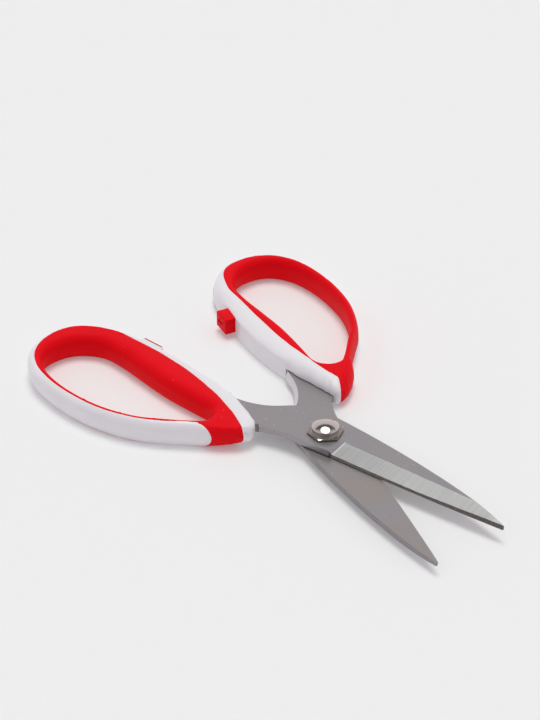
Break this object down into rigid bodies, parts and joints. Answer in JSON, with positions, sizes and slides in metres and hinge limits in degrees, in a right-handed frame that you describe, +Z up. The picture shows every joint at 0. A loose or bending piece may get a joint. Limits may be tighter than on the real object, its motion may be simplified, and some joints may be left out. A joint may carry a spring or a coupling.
{
  "type": "sewing scissors",
  "caption": "Sewing scissors: ground steel blades crossing on a screw pivot with a domed hex nut, moulded loop handles with soft lining, and a rubber closing stop.",
  "frame": {"origin": "middle of the footprint of the scissors lying flat and partly open, on the table", "axes": "+X along the line halfway between the blades towards the tips, +Y towards the thumb handle, +Z up along the pivot"},
  "size_m": [0.2058, 0.1378, 0.0128],
  "materials": {
    "blade_steel": "satin, ground bevel brushed across the edge",
    "pivot_metal": "bright nickel",
    "handle_shell": "white, satin",
    "soft_grip": "red, soft matt"
  },
  "bodies": {
    "lower_half": {"lower_blade": "blade_steel", "thumb_handle": "handle_shell", "thumb_grip": "soft_grip", "stop_bumper": "soft_grip", "pivot_screw": "pivot_metal", "pivot_nut": "pivot_metal"},
    "upper_half": {"upper_blade": "blade_steel", "finger_handle": "handle_shell", "finger_grip": "soft_grip", "stop_pad": "soft_grip"}
  },
  "joints": [
    {"name": "blade_pivot", "type": "hinge", "parent": "lower_half", "child": "upper_half", "pos_m": [0.01776, 0, 0.0056], "axis": [0, 0, 1], "range_deg": [-21.1, 48]}
  ]
}
